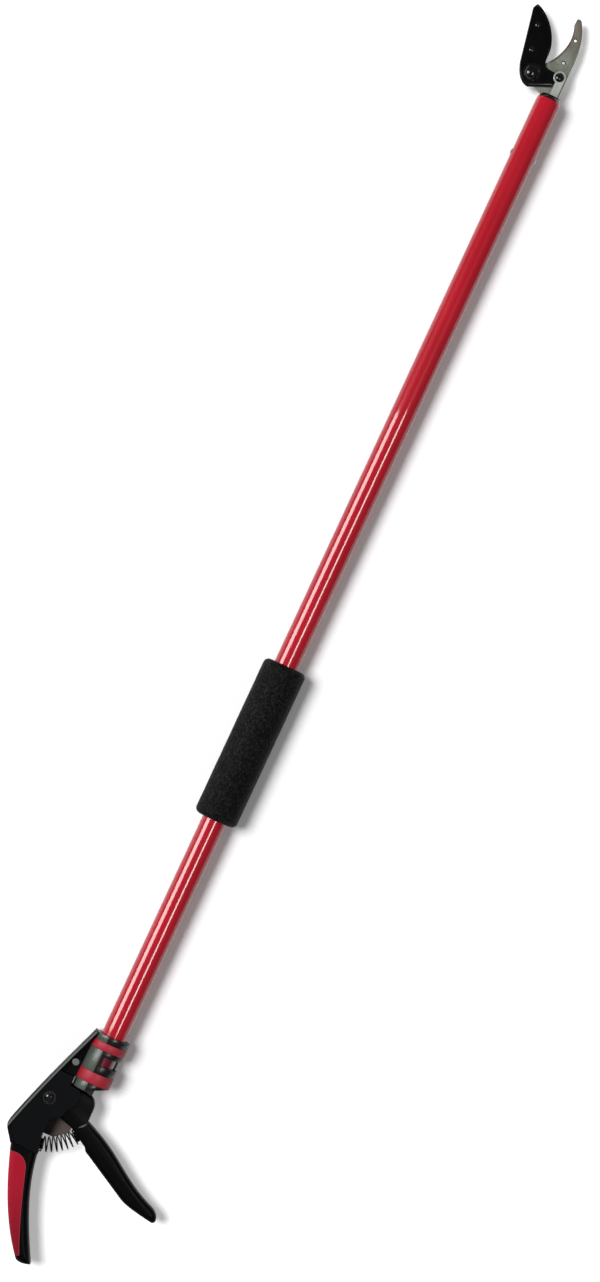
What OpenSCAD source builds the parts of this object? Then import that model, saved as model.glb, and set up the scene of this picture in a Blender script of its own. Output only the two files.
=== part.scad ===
// Long reach pruner: a tube with a foam sleeve, a pistol grip whose trigger pulls a rod inside the tube,
// and a cutting head whose blade closes on a fixed hook. The tube lies along X with the head at +X,
// the mechanism works in the XY plane, and the origin is the middle of the foam sleeve.

/* [Pole] */
// Outside diameter of the pole tube
tube_d = 22; // [21:0.5:24]
// Wall of the pole tube
tube_wall = 1.5; // [1:0.1:1.7]
// Middle of the foam sleeve to the head end of the tube
reach_up = 612; // [450:1:900]
// Middle of the foam sleeve to the head end of the collar
reach_down = 279; // [180:1:400]
// Length of the foam sleeve
foam_len = 146; // [90:1:220]
// Outside diameter of the foam sleeve
foam_d = 39; // [36:0.5:46]
// Rounding of the ends of the foam sleeve
foam_round = 5; // [2:0.5:6]
// Diameter of the pull rod
rod_d = 6; // [4:0.5:7]
// Number of rod guides in the tube
guide_count = 4; // [2:1:6]
// Length of a rod guide
guide_len = 8; // [5:0.5:10]

/* [Head] */
// Thickness of the hook plate
hook_t = 3; // [2.4:0.1:3.4]
// Thickness of the cutting blade
blade_t = 3; // [2.4:0.1:3.4]
// Thickness of the pull link
link_t = 2.4; // [2:0.1:3]
// Running gap between the layers of the head
layer_gap = 0.2; // [0.1:0.05:0.3]
// Length of the jaws from the blade pivot
jaw_len = 55.5; // [48:0.5:64]
// Distance of the blade pivot from the pole axis
pivot_off = 23.5; // [22.5:0.5:25]
// Distance of the blade pivot beyond the tube end
pivot_ahead = 13.5; // [12.5:0.5:15]
// Diameter of the blade pivot bolt
pivot_d = 8; // [6:0.5:9]
// Distance of the link bolt beyond the tube end
link_ahead = 18.7; // [18:0.1:20]
// Shank diameter of the link bolt
link_pin_d = 4; // [3:0.1:4.2]
// Diameter of the small holes in the hook
hook_hole_d = 2.6; // [2:0.1:3.2]
// Length of the plug that holds the head in the tube
plug_len = 58; // [45:1:80]
// Length of the rolled end of the tube
rim_len = 6; // [4:0.5:7]

/* [Handle] */
// Distance of the trigger pivot from the pole axis
lever_off = 28; // [27:0.5:29]
// Full squeeze of the trigger in degrees
squeeze = 30; // [24:1:31]
// Width of the trigger across the handle
trigger_w = 16; // [15:0.5:18]
// Depth of the trigger arm below its boss
arm_reach = 88; // [75:1:100]
// Diameter of the trigger pivot bolt
lever_bolt_d = 8; // [6:0.5:8]
// Thickness of the side walls of the handle
wall_t = 3; // [2:0.5:4]
// Thickness of the top ridge
ridge_t = 3; // [2.5:0.5:4]
// Width of the top ridge across the handle
ridge_w = 25; // [24:0.5:30]
// Length of the grip behind the housing
grip_len = 89; // [80:1:105]
// Thickness of the grip across the handle
grip_t = 20; // [18:0.5:24]
// Diameter of the hang hole
hang_d = 6.4; // [4:0.2:7]
// Length of the collar
collar_len = 51; // [48:1:51]
// Outside diameter of the collar
collar_d = 30.5; // [29.5:0.5:31]
// Wall of the tube socket
socket_wall = 2.1; // [1.5:0.1:2.3]
// Width of the collar band at the head side
band_w_upper = 7; // [5:0.5:8]
// Width of the collar band at the grip side
band_w_lower = 10; // [7:0.5:10]

/* [Spring] */
// Wire diameter of the trigger spring
wire_d = 1.25; // [1:0.05:1.5]
// Outside diameter of the trigger spring
coil_d = 14; // [12:0.5:14]
// Curls of the trigger spring
curls = 7.5; // [5:0.5:8]

/* [Hidden] */
$fn = 48;

// Clearances: pressed and clamped pieces, turning fits, sliding fits, free space
fit = 0.05;
turn_gap = 0.08;
slide_gap = 0.1;
free = 0.5;

// Tube and its rolled mouth
tube_r = tube_d / 2;
bore_r = tube_r - tube_wall;
rod_r = rod_d / 2;
collar_end = -reach_down;
tube_start = collar_end - collar_len + 8;
rim_start = reach_up - rim_len;
link_head_d = 8.4;
link_head_h = 2.6;
trim_t = 0.4;

// Layers of the head, from the front down
link_low = -layer_gap;
link_top = link_low + link_t;
link_head_top = link_top + link_head_h;
blade_top = link_low - layer_gap;
blade_low = blade_top - blade_t;
hook_top = blade_low - layer_gap;
hook_low = hook_top - hook_t;
mouth_r = norm([link_head_d / 2, link_head_top]) + free;
rim_r = mouth_r + trim_t + tube_wall;
rim_axis = rim_len / sqrt(1 - pow(rim_r / tube_r, 2));

// Plug, shank and its fasteners
plug_wall = 1.2;
plug_r = bore_r - fit;
plug_start = rim_start - plug_len;
shank_half = sqrt(pow(plug_r - plug_wall, 2) - pow(hook_low, 2));
shank_start = plug_start + 14;
rivet_x = plug_start + 8;
rivet_d = 3.2;
screw_d = 3;
screw_head_d = 5.2;
screw_head_h = 1.6;
shank_screws = [rim_start - 31, rim_start - 14];

// Blade linkage
lever_travel = 2 * lever_off * tan(squeeze / 2);
pivot = [reach_up + pivot_ahead, pivot_off];
link_pin = [reach_up + link_ahead, 0];
pin_lead = link_pin.x - pivot.x;
open_angle = atan(pin_lead / pivot_off);
shut_angle = atan((lever_travel - pin_lead) / pivot_off);
blade_turn = open_angle + shut_angle;
slot_dir = (link_pin - pivot) / norm(link_pin - pivot);
slot_gap = 0.4;
slot_r = link_pin_d / 2 + slot_gap;
slot_near = pivot_off - free;
slot_far = pivot_off / cos(max(open_angle, shut_angle)) + slot_gap;
eye_r = 5.4;
link_side_low = -5.2;
link_side_high = 2;

// Rod ends
coupler_len = 38;
coupler_r = 6.5;
coupler_end = plug_start - 5;
coupler_start = coupler_end - coupler_len;
coupler_socket = 14;
coupler_screws = [coupler_end - 18, coupler_end - 7];

// Handle
lever = [collar_end - collar_len - 18, lever_off];
rod_pin_at = [lever.x + lever_off * tan(squeeze / 2), 0];
rod_pin_d = 5;
rod_eye_r = 6.5;
rod_eye_half = 3.5;
rod_neck_r = 4.5;
rod_neck_len = 20;
rod_flat_len = 12.5;
rod_start = rod_pin_at.x + 12;
fork_half = rod_eye_half + slot_gap;
pin_depth = trigger_w / 2 - 1.6;
lever_slot_r = rod_pin_d / 2 + slot_gap;
hub_r = 9.4;
bush_wall = 2;
bush_r = lever_bolt_d / 2 + fit + bush_wall;
cavity_half = trigger_w / 2 + free;
wall_out = cavity_half + wall_t;
socket_r = tube_r + fit + socket_wall;
collar_r = collar_d / 2;
collar_bore_r = socket_r + fit;
web_half = 2.5;
band_depth = 0.8;
band_proud = 0.3;
root_len = 49;
root_x = lever.x - root_len;

// Spring axis: an arc about the trigger pivot between two radial seats
spring_r = 41.5;
seat_fixed = 193;
seat_moving = 239.3;
seat_reach = coil_d / 2 + 1.5;
coil_r = coil_d / 2 - wire_d / 2;
peg_r = coil_r - wire_d / 2 - 1;
peg_len = 3;

// Points and outlines
function polar(a) = [cos(a), sin(a)];
function bez(a, b, c, d, n, t0 = 0, t1 = 1) = [for (i = [0:n - 1])
    let (t = t0 + (t1 - t0) * i / n, s = 1 - t)
    s * s * s * a + 3 * s * s * t * b + 3 * s * t * t * c + t * t * t * d];
function arc(c, r, a0, a1, n) = [for (i = [0:n]) c + r * polar(a0 + (a1 - a0) * i / n)];
function turned(p, c, a) = let (v = p - c) c + [v.x * cos(a) - v.y * sin(a), v.x * sin(a) + v.y * cos(a)];
function backward(p) = [for (i = [len(p) - 1:-1:0]) p[i]];
// A closed counter-clockwise outline, each point moved inwards by d times its weight
function drawn_in(p, d, w) = let (n = len(p)) [for (i = [0:n - 1])
    let (t = p[(i + 1) % n] - p[(i + n - 1) % n]) p[i] + d * w[i] * [-t.y, t.x] / norm(t)];
// An open curve and its parallel on the left, as one closed band
function side_step(p, d) = let (n = len(p)) [for (i = [0:n - 1])
    let (t = p[min(i + 1, n - 1)] - p[max(i - 1, 0)]) p[i] + d * [-t.y, t.x] / norm(t)];
function band_of(p, d) = concat(p, backward(side_step(p, d)));
function repeated(v, n) = [for (i = [1:n]) v];
// The point of a falling curve at a given x
function on_curve(p, x) = [x, lookup(x, p)];

// Triangles that fill a closed counter-clockwise outline, cut off one corner at a time
function side_of(a, b, p) = (b.x - a.x) * (p.y - a.y) - (b.y - a.y) * (p.x - a.x);
function in_triangle(p, a, b, c) = side_of(a, b, p) >= 0 && side_of(b, c, p) >= 0 && side_of(c, a, p) >= 0;
function is_corner(p, left, k) =
    let (n = len(left), i = left[(k + n - 1) % n], j = left[k], m = left[(k + 1) % n])
    side_of(p[i], p[j], p[m]) > 1e-6
    && len([for (q = left) if (q != i && q != j && q != m && in_triangle(p[q], p[i], p[j], p[m])) q]) == 0;
function corner_at(p, left, k = 0) = k >= len(left) - 1 || is_corner(p, left, k) ? k : corner_at(p, left, k + 1);
function triangles(p, left) = len(left) < 4 ? [left] :
    let (n = len(left), k = corner_at(p, left))
    concat([[left[(k + n - 1) % n], left[k], left[(k + 1) % n]]],
        triangles(p, [for (i = [0:n - 1]) if (i != k) left[i]]));

// Solid through the same outline at several heights, each [height, inset]
module lofted(outline, layers, weights) {
    n = len(outline);
    last = (len(layers) - 1) * n;
    rings = [for (l = layers) drawn_in(outline, l[1], weights)];
    points = [for (k = [0:len(layers) - 1]) for (p = rings[k]) [p.x, p.y, layers[k][0]]];
    sides = [for (k = [0:len(layers) - 2]) for (i = [0:n - 1])
        let (a = k * n + i, b = k * n + (i + 1) % n) each [[a, a + n, b + n], [a, b + n, b]]];
    order = [for (i = [0:n - 1]) i];
    low = triangles(rings[0], order);
    high = [for (t = triangles(rings[len(layers) - 1], order)) [last + t[2], last + t[1], last + t[0]]];
    polyhedron(points = points, faces = concat(low, high, sides));
}

function round_layers(half, r) = [[-half, r], [-half + 0.3 * r, 0.45 * r], [-half + 0.9 * r, 0],
    [half - 0.9 * r, 0], [half - 0.3 * r, 0.45 * r], [half, r]];

module along_x(x) {
    translate([x, 0, 0]) rotate([0, 90, 0]) children();
}

module ring_x(x, len, r, hole) {
    along_x(x) difference() {
        cylinder(r = r, h = len);
        translate([0, 0, -1]) cylinder(r = hole, h = len + 2);
    }
}

module plate(outline, low, high) {
    translate([0, 0, low]) linear_extrude(high - low) polygon(outline);
}

module bore_z(p, r, low, high) {
    translate([p.x, p.y, low]) cylinder(r = r, h = high - low);
}

// A stadium slot along a radius of a lever
module lever_slot(c, dir, near, far, r, low, high) {
    a = atan2(dir.y, dir.x);
    plate(concat(arc(c + far * dir, r, a - 90, a + 90, 12), arc(c + near * dir, r, a + 90, a + 270, 12)), low, high);
}

module hex_recess(p, across, low, high) {
    translate([p.x, p.y, low]) cylinder(d = across / cos(30), h = high - low, $fn = 6);
}

// A domed button head standing on z = 0
module dome(r, h) {
    ball = (r * r + h * h) / (2 * h);
    rotate_extrude() polygon(concat([[0, 0]], [for (i = [0:8]) let (a = asin(r / ball) * (1 - i / 8))
        [ball * sin(a), h - ball + ball * cos(a)]]));
}

// A pan head screw along +Z with its head below z = 0
module screw(shank_r, len, head_r, head_h) {
    translate([0, 0, -head_h]) cylinder(r = head_r, h = head_h);
    cylinder(r = shank_r, h = len);
}

// Pole
rim_steps = 8;
rim_outer = [for (i = [0:rim_steps]) let (x = rim_len * i / rim_steps)
    [tube_r * sqrt(1 - pow(x / rim_axis, 2)), rim_start + x]];

module pole_tube() {
    color("crimson") difference() {
        rotate([0, 90, 0]) rotate_extrude() polygon(concat(
            [[bore_r, tube_start], [tube_r, tube_start]], rim_outer,
            [for (p = backward(rim_outer)) p - [tube_wall, 0]]));
        translate([rim_start, -tube_d, -tube_d]) cube([rim_len + 1, 2 * tube_d, tube_d]);
        for (x = shank_screws)
            bore_z([x, 0], screw_d / 2 + slide_gap, -tube_r - 1, 0);
        for (x = tube_screw_x)
            bore_z([x, 0], screw_d / 2 + slide_gap, -tube_r - 1, 0);
        translate([rivet_x, -tube_r - 1, 0]) rotate([-90, 0, 0]) cylinder(d = rivet_d + 2 * fit, h = tube_d + 2);
    }
}

module foam_grip() {
    half = foam_len / 2;
    foam_r = foam_d / 2;
    profile = concat([[tube_r + fit, -half]],
        arc([foam_r - foam_round, -half + foam_round], foam_round, -90, 0, 8),
        arc([foam_r - foam_round, half - foam_round], foam_round, 0, 90, 8), [[tube_r + fit, half]]);
    color("dimgray") rotate([0, 90, 0]) rotate_extrude() polygon(profile);
}

guide_first = tube_start + 4;
guide_last = coupler_start - lever_travel - guide_len - 12;

module rod_guides() {
    color("ivory") for (i = [0:guide_count - 1])
        ring_x(guide_first + (guide_last - guide_first) * i / (guide_count - 1), guide_len,
            bore_r - fit, rod_r + slide_gap);
}

// Head
channel_half = eye_r + free;
channel_top = link_top + screw_head_h + free;

module head_plug() {
    trim_out = rim_r - trim_t;
    color("#202022") difference() {
        union() {
            along_x(plug_start) cylinder(r = plug_r, h = plug_len);
            intersection() {
                rotate([0, 90, 0]) rotate_extrude() polygon([[mouth_r, rim_start - 1],
                    [mouth_r + trim_t - fit, rim_start - 1], [mouth_r + trim_t - fit, reach_up + fit],
                    [trim_out, reach_up + fit], [trim_out - trim_t, reach_up + 1.1], [mouth_r, reach_up + 1.5]]);
                translate([rim_start - 2, -tube_d, 0]) cube([rim_len + 5, 2 * tube_d, tube_d]);
            }
        }
        translate([plug_start - 1, -channel_half, link_low - free])
            cube([plug_len + 2, 2 * channel_half, channel_top - link_low + free]);
        translate([plug_start - 1, -shank_half - fit, hook_low - fit])
            cube([plug_len + 2, 2 * (shank_half + fit), hook_t + 2 * fit]);
        for (x = shank_screws)
            bore_z([x, 0], screw_d / 2 + fit, -tube_r - 1, hook_low);
        for (s = [-1, 1])
            translate([rivet_x, 0, 0]) rotate([-90 * s, 0, 0])
                translate([0, 0, plug_r - 2.4]) cylinder(d = rivet_d + 2 * fit, h = 4);
    }
}

module head_rivets() {
    color("silver") for (s = [-1, 1])
        translate([rivet_x, 0, 0]) rotate([-90 * s, 0, 0]) {
            translate([0, 0, plug_r - 2]) cylinder(d = rivet_d, h = tube_wall + 2.4);
            translate([0, 0, tube_r + fit]) dome(rivet_d * 0.9, 1);
        }
}

module head_screws() {
    color("dimgray") for (x = shank_screws)
        translate([x, 0, -tube_r]) screw(screw_d / 2, tube_r + hook_top - 0.3, screw_head_d / 2, screw_head_h);
}

function jaw(f, y) = [pivot.x + jaw_len * f, y];
hook_edge = bez(jaw(0.946, 7.6), jaw(0.645, 0.2), jaw(0.299, 10.5), jaw(0.207, 17.5), 14);
hook_belly = -6.2;
lobe_r = pivot_d / 2 + 5;
neck_x = rim_start + slide_gap;

module hook_plate() {
    outline = concat([[shank_start, -shank_half], [neck_x, -shank_half], [neck_x + 1, hook_belly]],
        bez(jaw(0.405, hook_belly), jaw(0.658, -6), jaw(0.874, -3), jaw(1.036, 3), 10),
        bez(jaw(1.036, 3), jaw(1.075, 5), jaw(1.06, 7.2), jaw(1.02, 7.3), 4),
        hook_edge, [jaw(0.207, 17.5)], arc(pivot, lobe_r, -20, 200, 16),
        [[neck_x + 6, pivot_off - 13.5], [neck_x + 1, shank_half + 1.5], [neck_x, shank_half],
        [shank_start, shank_half]]);
    color("silver") difference() {
        plate(outline, hook_low, hook_top);
        bore_z(pivot, pivot_d / 2 + fit, hook_low - 1, hook_top + 1);
        for (p = hook_holes)
            bore_z(p, hook_hole_d / 2, hook_low - 1, hook_top + 1);
        for (x = shank_screws)
            bore_z([x, 0], screw_d / 2 + fit, hook_low - 1, hook_top + 1);
    }
}

hook_holes = [jaw(0.337, 2.2), jaw(0.73, 1)];
pivot_head_r = 6.5;
pivot_washer_t = 0.8;
pivot_washer_low = blade_top + layer_gap;
pivot_head_low = pivot_washer_low + pivot_washer_t;
nut_h = 5;

module blade_pivot_bolt() {
    color("#18181a") translate([pivot.x, pivot.y, 0]) {
        translate([0, 0, pivot_head_low]) dome(pivot_head_r, 3.6);
        translate([0, 0, hook_low - nut_h - 1]) cylinder(d = pivot_d, h = pivot_head_low - hook_low + nut_h + 1);
    }
}

module blade_pivot_washer() {
    color("gray") difference() {
        bore_z(pivot, pivot_head_r + 0.9, pivot_washer_low, pivot_head_low);
        bore_z(pivot, pivot_d / 2 + fit, pivot_washer_low - 1, pivot_head_low + 1);
    }
}

module blade_pivot_nut() {
    color("gray") difference() {
        hex_recess(pivot, pivot_d * 1.6, hook_low - nut_h, hook_low);
        bore_z(pivot, pivot_d / 2 + fit, hook_low - nut_h - 1, hook_low + 1);
    }
}

// The blade turns on its pivot, and the link bolt works in the slot of its arm
arm_end = pivot + (slot_far - 1.2) * slot_dir;
arm_end_r = 4.8;
arm_dir = atan2(slot_dir.y, slot_dir.x);
throat = link_pin + [3, 10];
edge_start = jaw(0.315, 16.8);
edge_end = jaw(0.984, 40.7);
back_end = jaw(0.915, 46.2);
back_start = jaw(0.081, 37);
butt = [pivot.x - 13, pivot.y - 1.5];
grind = 3;
blade_arm = concat([link_pin + [-9.8, 2.6], link_pin + [-6.5, 1.6]],
    arc(arm_end, arm_end_r, arm_dir - 75, arm_dir + 95, 10), [throat + [-0.3, -4]]);
blade_throat = bez(throat, throat + [0.4, 5.5], edge_start - [7, 0], edge_start, 5);
blade_edge = bez(edge_start, jaw(0.556, 16), jaw(0.859, 26), edge_end, 14);
blade_tip = [edge_end, jaw(0.998, 42.4), jaw(1.002, 43.5), jaw(0.993, 44.3), jaw(0.955, 45.4)];
blade_back = [for (i = [0:5]) back_end + (back_start - back_end) * i / 6];
blade_butt = bez(back_start, pivot + [-5, 11], pivot + [-12.5, 6], butt, 7);
blade_outline = concat(blade_arm, blade_throat, blade_edge, blade_tip, blade_back, blade_butt, [butt]);
blade_weights = concat([0.8], repeated(0.15, len(blade_arm) - 1), repeated(0.15, len(blade_throat)),
    [for (i = [0:len(blade_edge) - 1]) min(1, 0.15 + i / 4)], [0.8, 0.5, 0.3, 0.25, 0.25],
    repeated(0.3, len(blade_back)), repeated(0.3, len(blade_butt)), [0.8]);
hold_rivet_at = [jaw(0.315, pivot.y + 8.5), jaw(0.703, pivot.y + 12.5)];
hold_rivet_d = 3;

module cutting_blade() {
    color("#222226") difference() {
        lofted(blade_outline, [[blade_low, 0], [blade_low + 0.6, 0], [blade_top, grind]], blade_weights);
        bore_z(pivot, pivot_d / 2 + turn_gap, blade_low - 1, blade_top + 1);
        lever_slot(pivot, slot_dir, slot_near, slot_far, slot_r, blade_low - 1, blade_top + 1);
        for (p = hold_rivet_at)
            bore_z(p, hold_rivet_d / 2 + fit, blade_low - 1, blade_top + 1);
    }
}

// The hold plate lies in the plane of the hook and meets its edge when the blade is shut
hold_gap = 0.6;
hold_low = hook_low;
hold_edge = [for (p = side_step(hook_edge, -hold_gap)) if (p.x > jaw(0.33, 0).x) turned(p, pivot, blade_turn)];

module hold_plate() {
    outline = concat(backward(hold_edge), [jaw(0.93, 43), jaw(0.6, 38.5), jaw(0.25, 35), jaw(0.22, 28)]);
    color("silver") difference() {
        plate(outline, hold_low, blade_low);
        for (p = hold_rivet_at)
            bore_z(p, hold_rivet_d / 2 + fit, hold_low - 1, blade_low + 1);
    }
}

module hold_rivets() {
    color("#2a2a2c") for (p = hold_rivet_at)
        translate([p.x, p.y, 0]) {
            translate([0, 0, blade_top]) dome(hold_rivet_d * 0.75, 0.8);
            translate([0, 0, hold_low]) cylinder(d = hold_rivet_d, h = blade_top - hold_low);
        }
}

// Pull rod and what moves with it
module pull_rod() {
    color("silver") along_x(rod_start) cylinder(r = rod_r, h = coupler_start + coupler_socket - 1 - rod_start);
}

module rod_eye() {
    color("gray") difference() {
        union() {
            bore_z(rod_pin_at, rod_eye_r, -rod_eye_half, rod_eye_half);
            translate([rod_pin_at.x, -rod_neck_r, -rod_eye_half])
                cube([rod_flat_len + 1, 2 * rod_neck_r, 2 * rod_eye_half]);
            along_x(rod_pin_at.x + rod_flat_len) cylinder(r = rod_neck_r, h = rod_neck_len - rod_flat_len);
        }
        bore_z(rod_pin_at, rod_pin_d / 2 + fit, -rod_eye_half - 2, rod_eye_half + 2);
        along_x(rod_start - fit) cylinder(r = rod_r + fit, h = rod_neck_len);
    }
}

module rod_pin() {
    color("silver") bore_z(rod_pin_at, rod_pin_d / 2, -trigger_w / 2 + 0.2, pin_depth - 0.3);
}

module rod_coupler() {
    color("gray") difference() {
        along_x(coupler_start) cylinder(r = coupler_r, h = coupler_len);
        translate([coupler_start + coupler_socket + 2, -coupler_r - 1, link_low])
            cube([coupler_len, 2 * coupler_r + 2, coupler_r + 2]);
        along_x(coupler_start - 1) cylinder(r = rod_r + fit, h = coupler_socket + 1);
        for (x = coupler_screws)
            bore_z([x, 0], screw_d / 2 + fit, link_low - 4.2, link_low + 1);
    }
}

module pull_link() {
    start = coupler_start + coupler_socket + 2 + fit;
    color("gainsboro") difference() {
        union() {
            translate([start, link_side_low, link_low])
                cube([link_pin.x - start, link_side_high - link_side_low, link_t]);
            bore_z(link_pin, eye_r, link_low, link_top);
        }
        bore_z(link_pin, link_pin_d / 2 + fit, link_low - 1, link_top + 1);
        for (x = coupler_screws)
            bore_z([x, 0], screw_d / 2 + fit, link_low - 1, link_top + 1);
    }
}

module link_screws() {
    color("dimgray") for (x = coupler_screws)
        translate([x, 0, link_top]) rotate([180, 0, 0])
            screw(screw_d / 2, link_t + 4, screw_head_d / 2, screw_head_h);
}

module link_bolt() {
    color("#18181a") difference() {
        union() {
            translate([link_pin.x, link_pin.y, link_top]) dome(link_head_d / 2, link_head_h);
            bore_z(link_pin, link_pin_d / 2, blade_low + 0.3, link_top);
        }
        hex_recess(link_pin, 2.5, link_top + 1, link_head_top + 1);
    }
}

// Handle frame: socket, web, ridge, rear wall, grip root and tang in one casting
function from_collar(x, y) = [collar_end + x, y];
ridge_low = [from_collar(0, 16.5), from_collar(-25, 25.5)];
ridge_high = [from_collar(-62, lever.y + 12.5), from_collar(-101, lever.y + 23.5)];
bulkhead_x = collar_end - collar_len + 4;
bulkhead_t = 3;
ridge_run = bez(ridge_low[0], ridge_low[1], ridge_high[0], ridge_high[1], 12);
ridge_nose = bez(ridge_high[1], ridge_high[1] + [-5, 1.2], [root_x + 9, lever.y + 20.5],
    [root_x, lever.y + 14.4], 6);
ridge_line = concat(ridge_run, ridge_nose, [[root_x, lever.y + 14.4]]);
wall_right = bulkhead_x + bulkhead_t;
wall_top = concat([on_curve(ridge_line, wall_right)], [for (p = ridge_line) if (p.x < wall_right) p]);
cover_line = side_step(ridge_line, ridge_t + slide_gap);
cover_top = concat([on_curve(cover_line, wall_right)], [for (p = cover_line) if (p.x < wall_right) p]);
seat_fixed_dir = polar(seat_fixed);
seat_moving_dir = polar(seat_moving);
collar_clear_y = collar_r + band_proud + free;
lobe = bez(lever + [-3, -19], lever + [4, -26], lever + [17, -25], lever + [17, -18], 8);
foot_near = lever + (spring_r - seat_reach) * seat_fixed_dir;
foot_far = lever + (root_len + 1) * seat_fixed_dir;
lobe_x = lever.x + 17;
tube_screw_x = [collar_end - 28, collar_end - 18];
cover_screw_at = [[root_x + 11, lever.y + 12], [root_x + 11, lever.y + 1]];

module tube_window(r) {
    translate([collar_end - 26, -r - 5, -r / 2]) cube([8.5, r + 7, 2 * r]);
}

// The grip side end of the socket slants back towards the trigger
slant = 0.4;
slant_y = 5;

module slant_cut(r) {
    left = collar_end - collar_len - 1;
    low = -r - 5;
    plate([[left, slant_y + 1 / slant], [left, low], [left + 1 + slant * (slant_y - low), low]], -2 * r, 2 * r);
}

// The top ridge, hollowed where it runs out over the collar
module ridge() {
    difference() {
        plate(band_of(ridge_line, ridge_t), -ridge_w / 2, ridge_w / 2);
        along_x(collar_end - collar_len) cylinder(r = collar_r + band_proud + slide_gap, h = collar_len + 1);
    }
}

module trigger_bores(low, high) {
    bore_z(lever, lever_bolt_d / 2 + fit, low, high);
}

module handle_frame() {
    wall = concat([[wall_right, collar_clear_y]], wall_top, [foot_far, foot_near,
        lever + [-32, -17], lever + [-23, -28], lever + [-13, -28]], lobe, [[lobe_x, collar_clear_y]]);
    block = concat([foot_far, foot_near + [-fit, 0], foot_near + [3, 4], [foot_near.x + 3, lever.y + 18]],
        [for (p = ridge_line) if (p.x < foot_near.x + 3) p]);
    web = concat([[wall_right, tube_r + 1], [collar_end, tube_r + 1]],
        [for (p = ridge_line) if (p.x > wall_right) p], [on_curve(ridge_line, wall_right)]);
    bulkhead = [[bulkhead_x, collar_clear_y], [wall_right, collar_clear_y], on_curve(ridge_line, wall_right),
        on_curve(ridge_line, bulkhead_x)];
    color("#26262a") difference() {
        union() {
            plate(wall, -wall_out, -cavity_half);
            plate(block, -wall_out, cavity_half);
            ridge();
            plate(web, -web_half, web_half);
            bore_z(hang_at, hang_d / 2 + 1.4, -web_half - 1.5, web_half + 1.5);
            plate(bulkhead, -wall_out, cavity_half);
            tang();
            along_x(collar_end - collar_len) cylinder(r = socket_r, h = collar_len);
            translate([lever.x, lever.y, 0]) rotate([0, 0, seat_fixed]) translate([spring_r, -1, 0])
                rotate([-90, 0, 0]) cylinder(r = peg_r, h = peg_len + 1);
        }
        along_x(collar_end - collar_len - 1) cylinder(r = tube_r + fit, h = collar_len + 2);
        tube_window(collar_r);
        slant_cut(collar_r);
        bore_z(hang_at, hang_d / 2, -ridge_w, ridge_w);
        trigger_bores(-wall_out - 1, -cavity_half + 1);
        for (p = cover_screw_at)
            bore_z(p, screw_d / 2 + fit, -wall_out - 1, cavity_half + 1);
        for (x = tube_screw_x)
            bore_z([x, 0], screw_d / 2 + slide_gap, -collar_d, 0);
    }
}

hang_at = from_collar(-33, 20.5);

module side_cover() {
    outline = concat([[wall_right, collar_clear_y]], cover_top, [foot_far, foot_near, lever + [-16, -8],
        lever + [-11, -16]], lobe, [[lobe_x, collar_clear_y]]);
    color("#303036") difference() {
        plate(outline, cavity_half, wall_out);
        trigger_bores(cavity_half - 1, wall_out + 1);
        for (p = cover_screw_at)
            bore_z(p, screw_d / 2 + fit, cavity_half - 1, wall_out - 0.8);
    }
}

module cover_screws() {
    color("dimgray") for (p = cover_screw_at)
        translate([p.x, p.y, -wall_out]) screw(screw_d / 2, 2 * wall_out - 1, screw_head_d / 2, screw_head_h);
}

// Grip: the red inlay lies along the palm side, the black core along the finger side and round the ends
grip_round = 2.8;
grip_scale = grip_len / 89;
function grip_at(x, y) = [root_x + grip_scale * x, lever.y + y];
back_a = grip_at(6.4, 16.4);
back_b = grip_at(-27.9, 5.3);
back_c = grip_at(-62.1, -8.1);
back_d = grip_at(-89.7, -31.9);
inner_a = grip_at(-88.5, -45.2);
inner_b = grip_at(-60, -29.8);
inner_c = grip_at(-32, -14.3);
inner_d = grip_at(5, -10);
inlay_front_t = 0.13;
inlay_end_t = 0.93;
inlay_back = bez(back_a, back_b, back_c, back_d, 14, inlay_front_t, inlay_end_t);
inlay_tip = bez(back_a, back_b, back_c, back_d, 1, inlay_end_t, 1)[0];
inlay_low = grip_at(-82.5, -32.4);
inlay_front = grip_at(-15, -7.2);
seam_line = concat(bez(inlay_low, grip_at(-60, -22), grip_at(-36, -14), inlay_front, 12),
    bez(inlay_front, grip_at(-6, -3.5), grip_at(-4, 4), inlay_back[0], 6));
inlay_outline = concat(seam_line, inlay_back, [inlay_tip]);
inlay_weights = concat(repeated(0.04, len(seam_line)), [0.5], repeated(1, len(inlay_back) - 1), [0.5]);
core_inner = bez(inner_a, inner_b, inner_c, inner_d, 14, 0, 0.94);
core_root = bez(back_a, back_b, back_c, back_d, 2, 0.065, inlay_front_t);
core_tip = bez(back_d, grip_at(-91.5, -35), grip_at(-91.5, -40), inner_a, 4);
core_back = bez(back_a, back_b, back_c, back_d, 3, inlay_end_t, 1);
core_outline = concat(core_inner, [[root_x - slide_gap, inner_d.y - 0.6]],
    [[root_x - slide_gap, core_root[0].y]], [core_root[1]], [inlay_back[0]], backward(seam_line), core_back, core_tip);
core_weights = concat(repeated(1, len(core_inner)), [0.3, 0.3, 0.8, 0.4], repeated(0.04, len(seam_line)),
    [0.4], repeated(1, len(core_back) - 1), repeated(1, len(core_tip)));
tang_half_w = 4;
tang_half_t = 3.5;
tang_end = grip_at(-66, -25);
tang_mid = bez(lever + [-43, 4], grip_at(-27, -6), grip_at(-54, -17.5), tang_end, 8);

// Tang of the frame inside the grip
module tang() {
    plate(band_of(side_step(tang_mid, -tang_half_w), 2 * tang_half_w), -tang_half_t, tang_half_t);
}

// Space in the grip that the tang lies in
module tang_space() {
    half_w = tang_half_w + slide_gap;
    half_t = tang_half_t + slide_gap;
    plate(band_of(side_step(concat(tang_mid, [tang_end]), -half_w), 2 * half_w), -half_t, half_t);
}

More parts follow.
